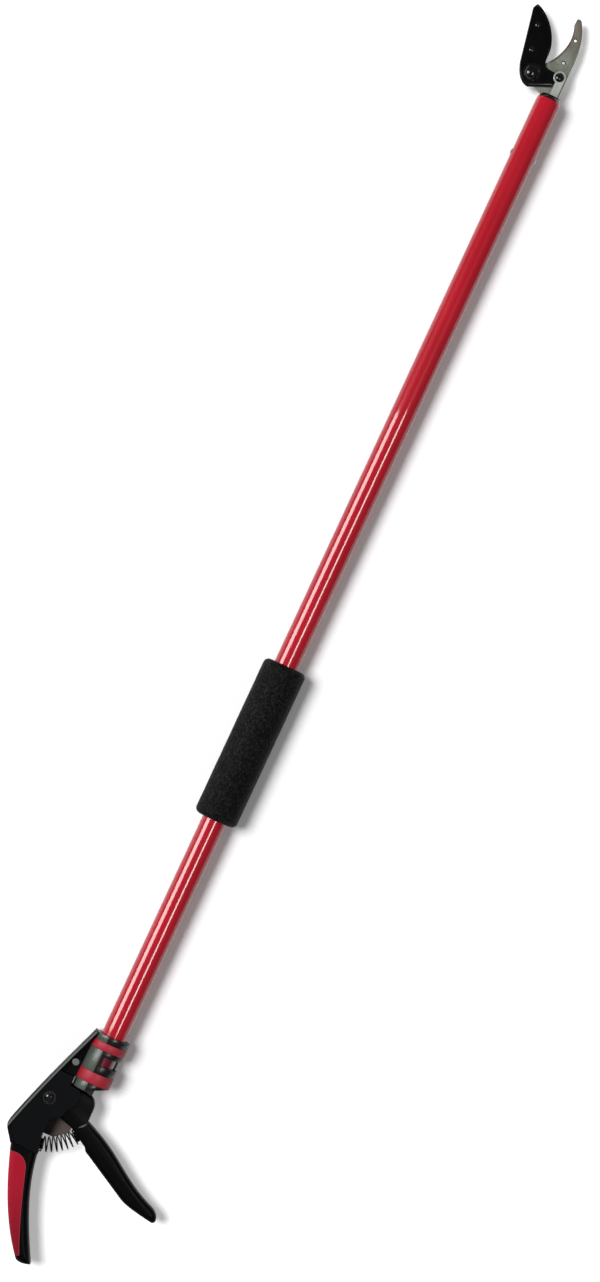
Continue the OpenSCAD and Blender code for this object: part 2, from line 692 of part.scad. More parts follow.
module grip_core() {
    color("#1e1e20") difference() {
        lofted(core_outline, round_layers(grip_t / 2, grip_round), core_weights);
        tang_space();
    }
}

module grip_inlay() {
    color("firebrick") difference() {
        lofted(inlay_outline, [for (l = round_layers(grip_t / 2, grip_round)) l + [0, fit]], inlay_weights);
        tang_space();
    }
}

// Collar
band_upper_x = collar_end - 6 - band_w_upper;
band_lower_x = collar_end - 33 - band_w_lower;

module web_slot() {
    translate([wall_right - fit, 0, -web_half - slide_gap])
        cube([collar_len, collar_d, 2 * (web_half + slide_gap)]);
}

module clamp_collar() {
    color("#4a4c4c") difference() {
        union() {
            ring_x(collar_end - collar_len, collar_len, collar_r, collar_bore_r);
            ring_x(collar_end - 4, 4, collar_r + band_proud, collar_bore_r);
        }
        tube_window(collar_r);
        slant_cut(collar_r);
        web_slot();
        ring_x(band_upper_x, band_w_upper, collar_d, collar_r - band_depth);
        ring_x(band_lower_x, band_w_lower, collar_d, collar_r - band_depth);
        for (x = tube_screw_x)
            bore_z([x, 0], screw_d / 2 + slide_gap, -collar_d, 0);
    }
}

module collar_bands() {
    color("indianred") difference() {
        union() {
            ring_x(band_upper_x + fit, band_w_upper - 2 * fit, collar_r + band_proud, collar_r - band_depth + fit);
            ring_x(band_lower_x + fit, band_w_lower - 2 * fit, collar_r + band_proud, collar_r - band_depth + fit);
        }
        web_slot();
        slant_cut(collar_r);
    }
}

module tube_screws() {
    color("dimgray") for (x = tube_screw_x)
        translate([x, 0, -collar_r]) screw(screw_d / 2, collar_r - bore_r + 0.5, screw_head_d / 2, screw_head_h);
}

// Trigger and its pivot
lever_washer_t = 0.8;
lever_nut_h = 4.5;

module trigger_pivot_bolt() {
    top = wall_out + lever_washer_t;
    color("#2c2c30") difference() {
        union() {
            translate([lever.x, lever.y, top]) dome(lever_bolt_d * 0.56, 2.6);
            bore_z(lever, lever_bolt_d / 2, -wall_out - lever_nut_h - 0.5, top);
        }
        hex_recess(lever, 3, top + 1, top + 4);
    }
}

module trigger_pivot_washer() {
    color("silver") difference() {
        bore_z(lever, lever_bolt_d * 0.72, wall_out, wall_out + lever_washer_t);
        trigger_bores(wall_out - 1, wall_out + 2);
    }
}

module trigger_pivot_nut() {
    color("silver") difference() {
        hex_recess(lever, lever_bolt_d * 1.6, -wall_out - lever_nut_h, -wall_out);
        trigger_bores(-wall_out - lever_nut_h - 1, -wall_out + 1);
    }
}

module trigger_bush() {
    color("goldenrod") difference() {
        bore_z(lever, bush_r, -cavity_half + fit, cavity_half - fit);
        trigger_bores(-cavity_half - 1, cavity_half + 1);
    }
}

trigger_round = 2.2;
arm_scale = arm_reach / 88;
boss_low = -11;
arm_root = [rod_pin_at.x - 13.5, boss_low];
function arm_at(x, y) = arm_root + arm_scale * [x, y];
seat_in = lever + (spring_r - seat_reach) * seat_moving_dir;
seat_out = lever + (spring_r + seat_reach + 2.5) * seat_moving_dir;
trigger_outline = concat(arc(lever, hub_r, -20, 190, 14), [lever + [-12, -12]], [seat_in],
    [seat_out, arm_at(-24.2, -8.5), arm_at(-36.3, -30.7)],
    bez(arm_at(-48.5, -53), arm_at(-51.5, -58.5), arm_at(-53.5, -69), arm_at(-55.5, -83), 7),
    bez(arm_at(-55.5, -83), arm_at(-57.5, -91), arm_at(-48, -89.5), arm_at(-44, -81), 5),
    bez(arm_at(-44, -81), arm_at(-31.1, -46), arm_at(-15.3, -39.7), arm_root, 10),
    [arm_root, [rod_pin_at.x - 3.5, boss_low + 0.2]],
    bez(rod_pin_at + [-3, boss_low + 0.2], rod_pin_at + [4.5, boss_low + 0.2], rod_pin_at + [9, -6],
        rod_pin_at + [9, 4], 6), [rod_pin_at + [9, 4], rod_pin_at + [8.5, 9]]);

module trigger_lever() {
    pin_dir = (rod_pin_at - lever) / norm(rod_pin_at - lever);
    near = lever_off - free;
    far = lever_off / cos(squeeze / 2) + slot_gap;
    color("#232326") difference() {
        union() {
            lofted(trigger_outline, round_layers(trigger_w / 2, trigger_round), repeated(1, len(trigger_outline)));
            translate([lever.x, lever.y, 0]) rotate([0, 0, seat_moving]) translate([spring_r, 1, 0])
                rotate([90, 0, 0]) cylinder(r = peg_r, h = peg_len + 1);
        }
        bore_z(lever, bush_r + turn_gap, -trigger_w, trigger_w);
        translate([rod_pin_at.x - rod_eye_r - 2, boss_low + 3, -fork_half])
            cube([30, 14 - boss_low - 3, 2 * fork_half]);
        lever_slot(lever, pin_dir, near, far, lever_slot_r, -trigger_w, pin_depth);
    }
}

// Trigger spring: one wire that winds along its bent axis, with a straight end on each seat
rings_per_curl = 8;
wire_sides = 6;
seat_gap = 0.1;
seat_turn = (wire_d + seat_gap) / (spring_r + coil_r) * 180 / PI;
turn_start = seat_fixed + seat_turn;
turn_end = seat_moving - seat_turn;
ring_count = round(curls * rings_per_curl);
function coil_at(u) = let (a = turn_start + (turn_end - turn_start) * u, w = 360 * curls * u)
    [lever.x + (spring_r + coil_r * cos(w)) * cos(a), lever.y + (spring_r + coil_r * cos(w)) * sin(a),
    coil_r * sin(w)];
function coil_out(u) = let (a = turn_start + (turn_end - turn_start) * u, w = 360 * curls * u)
    [cos(w) * cos(a), cos(w) * sin(a), sin(w)];
function seat_tangent(a) = [-sin(a), cos(a), 0];
function seat_run(u) = (spring_r + coil_r * cos(360 * curls * u)) * seat_turn * PI / 180 - seat_gap;
wire_path = concat([coil_at(0) - seat_run(0) * seat_tangent(seat_fixed)],
    [for (i = [0:ring_count]) coil_at(i / ring_count)], [coil_at(1) + seat_run(1) * seat_tangent(seat_moving)]);
wire_out = concat([coil_out(0)], [for (i = [0:ring_count]) coil_out(i / ring_count)], [coil_out(1)]);
function unit(v) = v / norm(v);
wire_rings = [for (i = [0:len(wire_path) - 1])
    let (last = len(wire_path) - 1,
        t = unit(wire_path[min(i + 1, last)] - wire_path[max(i - 1, 0)]),
        n = unit(wire_out[i] - (wire_out[i] * t) * t),
        b = cross(t, n))
    for (k = [0:wire_sides - 1]) wire_path[i] + wire_d / 2 * (cos(360 * k / wire_sides) * n
        + sin(360 * k / wire_sides) * b)];
wire_gap = min([for (i = [0:len(wire_path) - 2]) for (j = [i + 4:1:len(wire_path) - 1])
    norm(wire_path[i] - wire_path[j])]) - wire_d;
echo(spring_least_gap = wire_gap);

module trigger_spring() {
    last = (len(wire_path) - 1) * wire_sides;
    faces = concat([for (k = [1:wire_sides - 2]) [0, k, k + 1]],
        [for (k = [1:wire_sides - 2]) [last, last + k + 1, last + k]],
        [for (i = [0:len(wire_path) - 2]) for (k = [0:wire_sides - 1])
            let (a = i * wire_sides + k, b = i * wire_sides + (k + 1) % wire_sides)
            each [[a, a + wire_sides, b + wire_sides], [a, b + wire_sides, b]]]);
    color("lightgray") polyhedron(points = wire_rings, faces = faces);
}

pole_tube();
foam_grip();
rod_guides();
head_plug();
head_rivets();
head_screws();
hook_plate();
blade_pivot_bolt();
blade_pivot_washer();
blade_pivot_nut();
handle_frame();
side_cover();
cover_screws();
grip_core();
grip_inlay();
clamp_collar();
collar_bands();
tube_screws();
trigger_pivot_bolt();
trigger_pivot_washer();
trigger_pivot_nut();
trigger_bush();
trigger_spring();
trigger_lever();
pull_rod();
rod_eye();
rod_pin();
rod_coupler();
pull_link();
link_screws();
link_bolt();
cutting_blade();
hold_plate();
hold_rivets();
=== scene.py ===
import math
import bmesh
import bpy
from mathutils import Matrix, Vector, noise


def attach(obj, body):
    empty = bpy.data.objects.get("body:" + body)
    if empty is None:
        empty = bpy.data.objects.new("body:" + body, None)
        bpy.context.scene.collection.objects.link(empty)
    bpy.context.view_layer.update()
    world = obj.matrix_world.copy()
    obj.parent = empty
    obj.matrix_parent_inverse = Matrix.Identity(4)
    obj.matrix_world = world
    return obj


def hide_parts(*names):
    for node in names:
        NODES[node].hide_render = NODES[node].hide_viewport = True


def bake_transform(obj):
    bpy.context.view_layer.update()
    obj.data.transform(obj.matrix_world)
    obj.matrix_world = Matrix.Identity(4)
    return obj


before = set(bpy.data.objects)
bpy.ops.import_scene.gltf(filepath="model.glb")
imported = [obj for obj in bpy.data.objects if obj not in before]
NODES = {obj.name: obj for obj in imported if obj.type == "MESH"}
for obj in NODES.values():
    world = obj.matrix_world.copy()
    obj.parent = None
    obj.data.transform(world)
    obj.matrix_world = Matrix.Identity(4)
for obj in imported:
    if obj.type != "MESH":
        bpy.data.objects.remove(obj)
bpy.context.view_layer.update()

MM = 0.001


# Points and outlines, in millimetres in the row frame
def polar(degrees):
    a = math.radians(degrees)
    return Vector((math.cos(a), math.sin(a)))


def pt(x, y):
    return Vector((x, y))


def bez(a, b, c, d, n, t0=0.0, t1=1.0):
    """n points of a cubic curve from t0 on; the point at t1 is left to the next run."""
    out = []
    for i in range(n):
        t = t0 + (t1 - t0) * i / n
        s = 1 - t
        out.append(s ** 3 * a + 3 * s * s * t * b + 3 * s * t * t * c + t ** 3 * d)
    return out


def line(a, b, n):
    """n points from a on; b is left to the next run."""
    return [a + (b - a) * (i / n) for i in range(n)]


def arc(c, r, a0, a1, n):
    """n + 1 points, both ends among them."""
    return [c + r * polar(a0 + (a1 - a0) * i / n) for i in range(n + 1)]


def circle(c, r, sides):
    return [c + r * polar(360 * i / sides) for i in range(sides)]


def slot_round(pivot, pin, near, far, r):
    """A slot of half width r on the line from a pivot through a pin, from near to far."""
    d = (pin - pivot).normalized()
    a = math.degrees(math.atan2(d.y, d.x))
    return arc(pivot + far * d, r, a - 90, a + 90, 14) + arc(pivot + near * d, r, a + 90, a + 270, 14)


def inwards(outline, i):
    """The direction into a closed outline at its point i."""
    t = outline[(i + 1) % len(outline)] - outline[i - 1]
    return Vector((-t.y, t.x)).normalized()


def drawn_in(outline, insets):
    return [p + inset * inwards(outline, i) for i, (p, inset) in enumerate(zip(outline, insets))]


def eased(weights, steps):
    """Weights along a closed outline, smoothed so that an inset changes gently."""
    n = len(weights)
    for _ in range(steps):
        weights = [0.25 * weights[i - 1] + 0.5 * weights[i] + 0.25 * weights[(i + 1) % n] for i in range(n)]
    return weights


def room(outline):
    """How far each point of an outline is from the side opposite to it."""
    parallel, touching = 1e-9, 0.2
    n = len(outline)
    out = []
    for i, p in enumerate(outline):
        d = inwards(outline, i)
        best = math.inf
        for j in range(n):
            a, b = outline[j], outline[(j + 1) % n]
            e = b - a
            det = d.y * e.x - d.x * e.y
            if abs(det) < parallel or i in (j, (j + 1) % n):
                continue
            q = a - p
            far = (q.y * e.x - q.x * e.y) / det
            along = (d.x * q.y - d.y * q.x) / det
            if far > touching and 0 <= along <= 1:
                best = min(best, far)
        out.append(best)
    return out


def fitted(outline, weights, r):
    """Weights held back where the outline is narrow, and at its corners, for a rounding of radius r."""
    corner_turn = math.radians(28)
    width_share, at_corner, per_radius = 0.4, 0.06, 0.5
    n = len(outline)
    corners = []
    for i, p in enumerate(outline):
        before, after = p - outline[i - 1], outline[(i + 1) % n] - p
        if before.angle(after, 0.0) > corner_turn:
            corners.append(p)
    held = []
    for p, w, far in zip(outline, weights, room(outline)):
        near = min(((p - c).length for c in corners), default=math.inf)
        held.append(min(w, width_share * far / r, at_corner + per_radius * near / r))
    return eased(held, 1)


# Sizes shared by several pieces; the spring's seats are in degrees about the trigger's pivot
TUBE_R = 11.0
LEVER = pt(-348, 28)
PIVOT = pt(625.5, 23.5)
JAW_LEN = 55.5
LINK_PIN = pt(630.7, 0)
ROD_PIN = pt(-340.497, 0)
ROOT_X = -397.0
SPRING_AXIS_R = 41.5
FIXED_SEAT, MOVING_SEAT = 193, 239.3


def jaw(f, y):
    """A point of the head, f jaw lengths past the blade's pivot."""
    return pt(PIVOT.x + JAW_LEN * f, y)


def grip_at(x, y):
    """A point of the grip, from its root at the height of the trigger's pivot."""
    return pt(ROOT_X + x, LEVER.y + y)


# Mesh helpers
def placed(name, data):
    obj = bpy.data.objects.new(name, data)
    bpy.context.scene.collection.objects.link(obj)
    return obj


def shaded(mesh):
    """Smooth shading, broken where two faces turn by more than 40 degrees."""
    mesh.polygons.foreach_set("use_smooth", [True] * len(mesh.polygons))
    mesh.set_sharp_from_angle(angle=math.radians(40))


def new_object(name, verts, faces):
    mesh = bpy.data.meshes.new(name)
    mesh.from_pydata([Vector(v) * MM for v in verts], [], faces)
    mesh.validate()
    mesh.update()
    bm = bmesh.new()
    bm.from_mesh(mesh)
    bmesh.ops.recalc_face_normals(bm, faces=bm.faces)
    bm.to_mesh(mesh)
    bm.free()
    shaded(mesh)
    return placed(name, mesh)


def skinned(name, rings, closed=False):
    """A solid through rings of points; closed joins the last ring to the first instead of capping both."""
    n, count = len(rings[0]), len(rings)
    faces = []
    if not closed:
        faces = [tuple(range(n - 1, -1, -1)), tuple(range((count - 1) * n, count * n))]
    for k in range(count if closed else count - 1):
        here, there = k * n, (k + 1) % count * n
        for i in range(n):
            j = (i + 1) % n
            faces.append((here + i, here + j, there + j, there + i))
    return new_object(name, [p for ring in rings for p in ring], faces)


def stacked(name, outline, layers):
    """A solid through one outline at several heights; each layer is (height, inset of each point)."""
    return skinned(name, [[(p.x, p.y, z) for p in drawn_in(outline, insets)] for z, insets in layers])


def lofted(name, outline, layers, weights=None):
    """A stacked solid whose layers are (height, inset), the inset weighted at each point."""
    weights = weights or [1.0] * len(outline)
    return stacked(name, outline, [(z, [inset * w for w in weights]) for z, inset in layers])


def rounded(half, r, steps):
    """Layers that round both faces of a plate, 2 half thick, with radius r."""
    top = []
    for i in range(steps + 1):
        a = math.radians(90 * i / steps)
        top.append((half - r + r * math.sin(a), r * (1 - math.cos(a))))
    return [(-z, inset) for z, inset in reversed(top)] + top


def prism(name, outline, low, high):
    return lofted(name, outline, [(low, 0), (high, 0)])


def cylinder_z(name, c, r, low, high, sides=48):
    return prism(name, circle(c, r, sides), low, high)


def combined(obj, operation, *tools):
    """Cuts, joins or intersects obj with the tools, and deletes them."""
    for tool in tools:
        m = obj.modifiers.new("combined", "BOOLEAN")
        m.operation = operation
        m.solver = "EXACT"
        m.object = tool
    bpy.context.view_layer.update()
    graph = bpy.context.evaluated_depsgraph_get()
    mesh = bpy.data.meshes.new_from_object(obj.evaluated_get(graph))
    obj.modifiers.clear()
    old = obj.data
    obj.data = mesh
    bpy.data.meshes.remove(old)
    mesh.name = obj.name
    bm = bmesh.new()
    bm.from_mesh(mesh)
    bmesh.ops.dissolve_degenerate(bm, dist=1e-7, edges=bm.edges)
    bm.to_mesh(mesh)
    bm.free()
    shaded(mesh)
    for tool in tools:
        old = tool.data
        bpy.data.objects.remove(tool)
        bpy.data.meshes.remove(old)
    return obj


def cut(obj, *cutters):
    return combined(obj, "DIFFERENCE", *cutters)


def softened(obj, width, merged=False):
    """Small rounded edges on a CAD node; merged joins its flat triangles first."""
    w = obj.modifiers.new("weld", "WELD")
    w.merge_threshold = 1e-6
    if merged:
        d = obj.modifiers.new("flat", "DECIMATE")
        d.decimate_type = "DISSOLVE"
        d.angle_limit = math.radians(0.3)
    b = obj.modifiers.new("edges", "BEVEL")
    b.width = width * MM
    b.segments = 2
    b.limit_method = "ANGLE"
    b.angle_limit = math.radians(30)
    b.use_clamp_overlap = False
    b.harden_normals = True


# Materials
def srgb(r, g, b):
    """A colour written in sRGB levels, in the linear values that a shader takes."""
    def lin(v):
        v /= 255.0
        return v / 12.92 if v <= 0.04045 else ((v + 0.055) / 1.055) ** 2.4
    return (lin(r), lin(g), lin(b), 1.0)


def scaled(color, factor):
    return [int(c * factor) for c in color]


def math_node(tree, operation, *values):
    """A Math node; a number is set on its socket and an output is linked to it."""
    m = tree.nodes.new("ShaderNodeMath")
    m.operation = operation
    for socket, v in zip(m.inputs, values):
        if isinstance(v, (int, float)):
            socket.default_value = v
        else:
            tree.links.new(v, socket)
    return m.outputs[0]


def range_node(tree, value, low, high, a, b):
    """value, mapped from low..high to a..b."""
    m = tree.nodes.new("ShaderNodeMapRange")
    m.inputs["From Min"].default_value = low
    m.inputs["From Max"].default_value = high
    m.inputs["To Min"].default_value = a
    m.inputs["To Max"].default_value = b
    tree.links.new(value, m.inputs["Value"])
    return m.outputs["Result"]


class Finish:
    """A procedural material built up from noise on object coordinates, which are in metres."""

    def __init__(self, name, color, rough, metallic=0.0):
        self.mat = bpy.data.materials.new(name)
        self.mat.use_nodes = True
        self.tree = self.mat.node_tree
        self.bsdf = self.tree.nodes["Principled BSDF"]
        self.coord = self.node("ShaderNodeTexCoord").outputs["Object"]
        self.bsdf.inputs["Base Color"].default_value = color
        self.bsdf.inputs["Roughness"].default_value = rough
        self.bsdf.inputs["Metallic"].default_value = metallic
        self.base = color
        self.color = None
        self.normal = None

    def node(self, kind):
        return self.tree.nodes.new(kind)

    def link(self, a, b):
        self.tree.links.new(a, b)

    def set(self, **values):
        for k, v in values.items():
            self.bsdf.inputs[k.replace("_", " ")].default_value = v

    def noise(self, scale, detail, stretch=None):
        """Noise with its scale per metre, stretched along an axis where asked."""
        n = self.node("ShaderNodeTexNoise")
        n.inputs["Scale"].default_value = scale
        n.inputs["Detail"].default_value = detail
        n.inputs["Roughness"].default_value = 0.55
        source = self.coord
        if stretch:
            m = self.node("ShaderNodeMapping")
            m.inputs["Scale"].default_value = stretch
            self.link(self.coord, m.inputs["Vector"])
            source = m.outputs["Vector"]
        self.link(source, n.inputs["Vector"])
        return n.outputs["Fac"]

    def cells(self, scale):
        v = self.node("ShaderNodeTexVoronoi")
        v.inputs["Scale"].default_value = scale
        self.link(self.coord, v.inputs["Vector"])
        return v.outputs["Distance"]

    def spread(self, fac, low, high, a=0.0, b=1.0):
        return range_node(self.tree, fac, low, high, a, b)

    def axis(self, name):
        split = self.node("ShaderNodeSeparateXYZ")
        self.link(self.coord, split.inputs["Vector"])
        return split.outputs[name]

    def plus(self, a, b):
        return math_node(self.tree, "ADD", a, b)

    def times(self, a, b):
        return math_node(self.tree, "MULTIPLY", a, b)

    def ridge_highlight_band(self):
        """1 on the inner part of the ridge's face, where the housing's painted highlight lies, 0 along its
        outer edge.
        That edge falls from top by slope and bend, over u from 0 to 1 along the ridge."""
        u_at_zero, u_per_metre = 3.762, 9.901
        top, slope, bend = 0.0515, -0.0303, -0.0047
        u = self.plus(self.times(self.axis("X"), u_per_metre), u_at_zero)
        fall = self.times(u, self.plus(self.times(u, bend), slope))
        gap = math_node(self.tree, "SUBTRACT", self.plus(fall, top), self.axis("Y"))
        return self.times(self.spread(gap, 0.0007, 0.0012), self.spread(gap, 0.0031, 0.0026))

    def near(self, point, inner, outer):
        """A mask that is 1 within inner metres of a point and 0 from outer metres."""
        far = self.node("ShaderNodeVectorMath")
        far.operation = "DISTANCE"
        self.link(self.coord, far.inputs[0])
        far.inputs[1].default_value = point
        return self.spread(far.outputs["Value"], outer, inner)

    def edges(self, radius_mm):
        """A mask that is 1 along sharp edges, where the rounded normal leaves the true one."""
        level, turned = 0.985, 0.88
        bev = self.node("ShaderNodeBevel")
        bev.samples = 4
        bev.inputs["Radius"].default_value = radius_mm * MM
        geo = self.node("ShaderNodeNewGeometry")
        dot = self.node("ShaderNodeVectorMath")
        dot.operation = "DOT_PRODUCT"
        self.link(bev.outputs["Normal"], dot.inputs[0])
        self.link(geo.outputs["Normal"], dot.inputs[1])
        return self.spread(dot.outputs["Value"], level, turned)

    def tint(self, fac, color):
        """Mixes the colour so far towards another one by fac."""
        m = self.node("ShaderNodeMix")
        m.data_type = "RGBA"
        so_far, towards, mixed = m.inputs[6], m.inputs[7], m.outputs[2]
        if self.color is None:
            so_far.default_value = self.base
        else:
            self.link(self.color, so_far)
        towards.default_value = color
        self.link(fac, m.inputs[0])
        self.color = mixed
        self.link(mixed, self.bsdf.inputs["Base Color"])

    def gloss(self, fac, low, high):
        """Roughness from low to high over the middle of the noise."""
        self.link(self.spread(fac, 0.3, 0.7, low, high), self.bsdf.inputs["Roughness"])

    def bump(self, fac, height_mm, strength):
        b = self.node("ShaderNodeBump")
        b.inputs["Distance"].default_value = height_mm * MM
        b.inputs["Strength"].default_value = strength
        self.link(fac, b.inputs["Height"])
        if self.normal is not None:
            self.link(self.normal, b.inputs["Normal"])
        self.normal = b.outputs["Normal"]
        self.link(self.normal, self.bsdf.inputs["Normal"])


def red_paint():
    """Gloss paint, with the dark trim at the tube's mouth and painted shade darkening its end inside the
    collar.
    """
    f = Finish("red_paint", srgb(168, 9, 30), 0.3)
    f.set(Coat_Weight=1.0, Coat_Roughness=0.04, Specular_IOR_Level=0.12)
    f.tint(f.spread(f.noise(14, 2), 0.35, 0.7), srgb(178, 14, 36))
    f.tint(f.spread(f.noise(900, 2), 0.62, 0.8, 0, 0.35), srgb(146, 8, 26))
    f.tint(f.spread(f.axis("X"), 0.6092, 0.6098), srgb(22, 8, 10))
    # painted shade: the tube's end inside the collar is darkened for the shadow seen through its window
    f.tint(f.spread(f.axis("X"), -0.279, -0.281), srgb(96, 10, 34))
    f.gloss(f.noise(60, 4, (0.1, 1, 1)), 0.26, 0.36)
    f.bump(f.noise(420, 3, (0.15, 1, 1)), 0.006, 0.3)
    return f.mat


def black_foam():
    f = Finish("black_foam", srgb(5, 5, 6), 0.5)
    f.set(Specular_IOR_Level=0.05)
    f.tint(f.spread(f.noise(480, 3), 0.47, 0.62), srgb(37, 36, 36))
    f.tint(f.spread(f.cells(1100), 0.3, 0.75, 0, 0.5), srgb(16, 16, 18))
    f.tint(f.spread(f.noise(60, 4), 0.45, 0.75, 0, 0.6), srgb(6, 6, 7))
    f.bump(f.cells(600), 0.6, 0.9)
    f.bump(f.noise(280, 5), 1.0, 0.8)
    return f.mat


def black_plastic(name, color, rough, edge, housing=False):
    """Moulded plastic, its edges lighter by wear and painted highlight; the housing has a painted highlight
    on its ridge and a brownish patch inside.
    """
    f = Finish(name, srgb(*color), rough)
    f.set(Specular_IOR_Level=0.05)
    f.tint(f.spread(f.noise(45, 4), 0.4, 0.7, 0, 0.6), srgb(*scaled(color, 1.3)))
    # lighter edges: partly wear, partly painted highlight
    f.tint(f.edges(0.6), srgb(*edge))
    if housing:
        # painted highlight: a pale band on the ridge's face, where light catches it
        f.tint(f.times(f.spread(f.axis("Z"), 0.0119, 0.0124), f.ridge_highlight_band()), srgb(100, 103, 98))
        # a lighter brownish patch on the inner face of the wall behind the spring
        inside = f.spread(f.axis("Z"), -0.0100, -0.0090)
        f.tint(f.times(f.near((-0.366, 0.009, -0.009), 0.013, 0.018), inside), srgb(84, 74, 68))
    f.gloss(f.noise(130, 4), rough - 0.05, rough + 0.08)
    f.bump(f.noise(1500, 3), 0.05, 0.35)
    return f.mat


def red_rubber():
    """Soft rubber with painted shade darkening it towards the grip's end, and a pale rim that is a painted
    highlight.
    """
    f = Finish("red_rubber", srgb(160, 17, 40), 0.6)
    f.set(Sheen_Weight=0.03, Sheen_Roughness=0.4, Specular_IOR_Level=0.1)
    f.tint(f.spread(f.noise(40, 3), 0.4, 0.7, 0, 0.7), srgb(170, 24, 48))
    f.tint(f.spread(f.noise(600, 3), 0.58, 0.75, 0, 0.4), srgb(150, 16, 38))
    # painted shade: darker towards the grip's end
    f.tint(f.spread(f.axis("X"), -0.42, -0.488, 0, 0.95), srgb(110, 12, 28))
    # painted highlight: a pale rim where the rounded edge catches light
    f.tint(f.edges(1.3), srgb(150, 66, 76))
    f.gloss(f.noise(200, 3), 0.52, 0.68)
    f.bump(f.cells(1100), 0.08, 0.35)
    return f.mat


def collar_plastic():
    """Near black, with a grey painted reflection on the side of the handle's ridge."""
    f = Finish("collar_plastic", srgb(12, 11, 10), 0.3)
    f.set(Coat_Weight=0.1, Coat_Roughness=0.2, Specular_IOR_Level=0.3)
    f.tint(f.spread(f.noise(70, 4), 0.4, 0.7, 0, 0.6), srgb(20, 20, 18))
    # painted reflection: a grey band of light on the collar's upper side
    f.tint(f.spread(f.axis("Y"), 0.0030, 0.0037), srgb(76, 82, 76))
    # lighter edges: partly wear, partly painted highlight
    f.tint(f.edges(0.5), srgb(50, 51, 48))
    f.gloss(f.noise(220, 4), 0.3, 0.4)
    f.bump(f.noise(500, 3), 0.008, 0.3)
    return f.mat


def band_plastic():
    f = Finish("band_plastic", srgb(158, 30, 46), 0.5)
    f.set(Specular_IOR_Level=0.3)
    f.tint(f.spread(f.noise(60, 3), 0.4, 0.7, 0, 0.7), srgb(168, 40, 54))
    f.gloss(f.noise(260, 4), 0.46, 0.58)
    f.bump(f.noise(700, 3), 0.01, 0.3)
    return f.mat


def steel(name, color, rough, grain, spots, rust=None):
    """Dull steel with grain along an axis; rust is its colour towards the hook's tip."""
    f = Finish(name, srgb(*color), rough, 0.35)
    if rust:
        f.tint(f.spread(f.axis("X"), 0.645, 0.672, 0, 0.85), srgb(*rust))
    f.tint(f.spread(f.noise(90, 5), 0.42, 0.72, 0, 0.7), srgb(*spots))
    f.tint(f.spread(f.noise(420, 4), 0.55, 0.75, 0, 0.5), srgb(*scaled(spots, 0.8)))
    f.gloss(f.noise(160, 4, grain), rough - 0.06, rough + 0.1)
    f.bump(f.noise(260, 4, grain), 0.02, 0.35)
    return f.mat


def black_coat(name, color, rough, coat):
    f = Finish(name, srgb(*color), rough)
    f.set(Coat_Weight=coat, Coat_Roughness=0.1, Specular_IOR_Level=0.1)
    f.tint(f.spread(f.noise(50, 5), 0.45, 0.75, 0, 0.7), srgb(9, 7, 8))
    # lighter edges: partly wear, partly painted highlight
    f.tint(f.edges(0.35), srgb(52, 50, 50))
    f.gloss(f.noise(120, 5), rough - 0.04, rough + 0.14)
    f.bump(f.noise(500, 4), 0.03, 0.4)
    return f.mat


def metal(name, color, rough):
    f = Finish(name, srgb(*color), rough, 1.0)
    f.tint(f.spread(f.noise(300, 4), 0.45, 0.75, 0, 0.5), srgb(*scaled(color, 0.72)))
    f.gloss(f.noise(700, 4), rough - 0.05, rough + 0.12)
    f.bump(f.noise(1200, 3), 0.02, 0.3)
    return f.mat


def guide_plastic():
    f = Finish("guide_plastic", srgb(222, 219, 208), 0.45)
    f.tint(f.spread(f.noise(120, 4), 0.4, 0.7, 0, 0.6), srgb(206, 201, 186))
    f.gloss(f.noise(300, 3), 0.38, 0.52)
    f.bump(f.noise(900, 3), 0.03, 0.3)
    return f.mat


RED = red_paint()
FOAM = black_foam()
HOUSING = black_plastic("housing_plastic", (8, 8, 9), 0.36, (46, 46, 46), housing=True)
COVER = black_plastic("cover_plastic", (9, 10, 12), 0.5, (30, 30, 33))
GRIP = black_plastic("grip_plastic", (4, 4, 4), 0.4, (16, 15, 15))
INLAY = red_rubber()
COLLAR = collar_plastic()
BAND = band_plastic()
HOOK = steel("hook_steel", (140, 145, 132), 0.4, (1, 12, 1), (98, 102, 90), rust=(128, 112, 104))
HOOK_EDGE = steel("hook_edge_steel", (112, 92, 88), 0.36, (12, 1, 1), (78, 62, 58))
HOOK_HOLE_SHADE = steel("hook_hole_shade_steel", (34, 35, 31), 0.5, (1, 1, 1), (24, 25, 22))
LINK = steel("link_steel", (184, 192, 185), 0.34, (10, 1, 1), (160, 168, 162))
LIP_HIGHLIGHT = black_plastic("lip_highlight_plastic", (96, 96, 92), 0.36, (130, 130, 126))
BLADE = black_coat("blade_coat", (3, 3, 4), 0.22, 0.25)
BOLT = black_coat("bolt_coat", (5, 5, 6), 0.16, 0.9)
WIRE = metal("spring_wire", (58, 57, 57), 0.2)
DARK = metal("dark_steel", (52, 51, 50), 0.34)
ZINC = metal("zinc_plate", (186, 186, 184), 0.3)
BRASS = metal("bush_brass", (196, 160, 88), 0.28)
GUIDE = guide_plastic()
PLUG = black_plastic("plug_plastic", (11, 9, 10), 0.34, (36, 32, 32))

